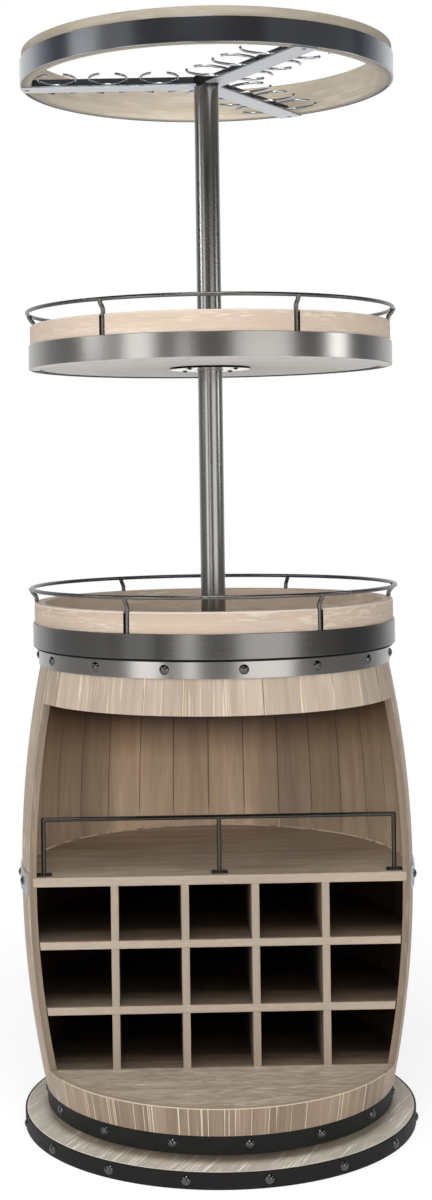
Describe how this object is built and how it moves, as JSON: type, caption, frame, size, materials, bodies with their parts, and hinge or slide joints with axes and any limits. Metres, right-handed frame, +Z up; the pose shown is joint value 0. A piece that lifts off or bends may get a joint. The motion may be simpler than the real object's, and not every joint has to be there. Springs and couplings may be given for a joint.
{
  "type": "barrel bar cabinet",
  "caption": "Barrel-shaped bar cabinet on a swivel base, with bottle bays, display shelf, railed top, and a centre pole carrying a railed tray and a stemware ring.",
  "frame": {"origin": "middle of the base disc's underside, on the floor", "axes": "+Z up along the pole, -Y towards the open front, +X to the viewer's right from the front"},
  "size_m": [0.7464, 0.7368, 1.999],
  "materials": {
    "apron_oak": "browner oak, satin lacquer",
    "ball_steel": "polished",
    "base_oak": "greyed oak, satin lacquer",
    "black_rivet": "gloss black paint",
    "black_steel": "satin black paint",
    "bright_band": "brushed",
    "brushed_band": "brushed",
    "clip_steel": "dark satin",
    "dark_band": "dark brushed",
    "dark_rod": "satin black paint",
    "divider_oak": "limed oak, satin lacquer",
    "flange_steel": "bright satin",
    "floor_oak": "limed oak, satin lacquer",
    "grey_board": "pale grey painted board",
    "header_oak": "limed oak, satin lacquer",
    "hoop_oak": "pale limed oak, satin lacquer",
    "hoop_rivet": "dark burnished",
    "panel_oak": "limed oak, satin lacquer",
    "pole_steel": "gunmetal, satin",
    "rail_rod": "gunmetal, satin",
    "screw_steel": "dark burnished",
    "shelf_oak": "limed oak, satin lacquer",
    "spoke_steel": "satin",
    "stave_oak": "limed oak, satin lacquer",
    "zinc_steel": "zinc plated"
  },
  "bodies": {
    "base": {"base_disk": "base_oak", "base_band": "black_steel", "base_rivets": "black_rivet", "swivel_lower_plate": "zinc_steel", "swivel_lower_screws": "screw_steel", "swivel_balls": "ball_steel", "swivel_cage": "zinc_steel"},
    "cabinet": {"apron_staves": "apron_oak", "back_staves": "stave_oak", "barrel_flange": "pole_steel", "barrel_flange_bolts": "screw_steel", "dividers_bottom_row": "divider_oak", "dividers_middle_row": "divider_oak", "dividers_top_row": "divider_oak", "edge_staves": "stave_oak", "floor_battens": "shelf_oak", "floor_panel": "floor_oak", "gallery_rail": "dark_rod", "gallery_screws": "screw_steel", "glass_clips_front": "clip_steel", "glass_clips_left": "clip_steel", "glass_clips_rear": "clip_steel", "header_staves": "header_oak", "hoop_rivets": "hoop_rivet", "hub_block": "dark_rod", "hub_bolt": "dark_rod", "main_shelf": "shelf_oak", "mid_hoop": "bright_band", "plinth_band": "black_steel", "plinth_disk": "base_oak", "plinth_rivets": "black_rivet", "pole_backing_block": "base_oak", "pole_inserts": "zinc_steel", "pole_lower": "pole_steel", "pole_stud": "zinc_steel", "pole_upper": "pole_steel", "rack_shelf_lower": "shelf_oak", "rack_shelf_upper": "shelf_oak", "rim_band": "dark_band", "rim_hoop": "hoop_oak", "rim_rail_posts": "rail_rod", "rim_rail_ring": "rail_rod", "ring_band": "brushed_band", "ring_hoop": "hoop_oak", "spoke_front": "spoke_steel", "spoke_left": "spoke_steel", "spoke_rear": "spoke_steel", "spoke_screws": "screw_steel", "swivel_upper_plate": "zinc_steel", "swivel_upper_screws": "screw_steel", "top_panel": "panel_oak", "tray_band": "brushed_band", "tray_flange_screws": "screw_steel", "tray_flanges": "flange_steel", "tray_hoop": "hoop_oak", "tray_panel": "grey_board", "tray_rail_posts": "rail_rod", "tray_rail_ring": "rail_rod", "upper_hoop": "brushed_band"}
  },
  "joints": [
    {"name": "cabinet_swivel", "type": "hinge", "parent": "base", "child": "cabinet", "pos_m": [0, 0, 0.037], "axis": [0, 0, 1], "continuous": true}
  ]
}
